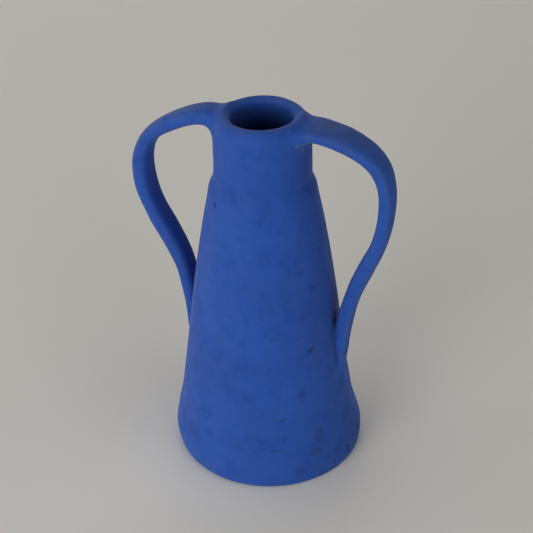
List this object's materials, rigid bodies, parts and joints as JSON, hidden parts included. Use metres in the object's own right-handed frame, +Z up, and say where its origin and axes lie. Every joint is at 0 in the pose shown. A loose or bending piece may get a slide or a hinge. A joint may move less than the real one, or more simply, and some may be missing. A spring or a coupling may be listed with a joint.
{
  "type": "amphora vase",
  "caption": "Hand-built matte cobalt ceramic amphora vase: a conical hollow body with a rounded foot, a short neck with a thick rounded lip, and two long looping strap handles.",
  "frame": {"origin": "centre of the flat underside, on the surface that the vase stands on", "axes": "+Z up along the vase's axis towards the mouth, +X through the right handle, -X through the left handle"},
  "size_m": [0.2102, 0.155, 0.292],
  "materials": {
    "cobalt_body": "matte cobalt slip with fine mottling, fingertip dents and small nicks",
    "cobalt_rim": "matte cobalt slip, slightly greyed on the worn lip",
    "cobalt_handles": "matte cobalt slip, smoothed by hand",
    "cobalt_floor": "matte, rubbed dry on the underside"
  },
  "bodies": {
    "root": {"base_slab": "cobalt_floor", "body_wall": "cobalt_body", "neck_collar": "cobalt_body", "mouth_rim": "cobalt_rim", "right_handle": "cobalt_handles", "right_handle_root_pad": "cobalt_handles", "right_handle_tail_pad": "cobalt_handles", "left_handle": "cobalt_handles", "left_handle_root_pad": "cobalt_handles", "left_handle_tail_pad": "cobalt_handles"}
  },
  "joints": []
}
